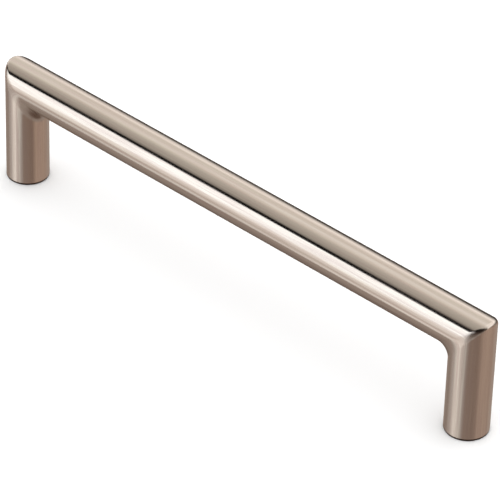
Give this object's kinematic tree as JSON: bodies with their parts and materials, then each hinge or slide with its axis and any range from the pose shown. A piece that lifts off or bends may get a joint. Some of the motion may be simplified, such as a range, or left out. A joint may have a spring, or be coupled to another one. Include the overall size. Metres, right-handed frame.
{
  "type": "bar pull handle",
  "caption": "Round-bar D pull handle with mitred corners and tapped feet, fixed by screws through the door from behind.",
  "frame": {"origin": "midway between the two feet, on the plane of their flat faces, which is the door's front face", "axes": "+Z away from the door, towards the hand; +X along the bar; +Y across the bar"},
  "size_m": [0.172, 0.012, 0.036],
  "materials": {
    "satin_nickel": "warm satin nickel plate over zinc alloy, finely brushed round the bar"
  },
  "bodies": {
    "root": {"handle_body": "satin_nickel"}
  },
  "joints": []
}
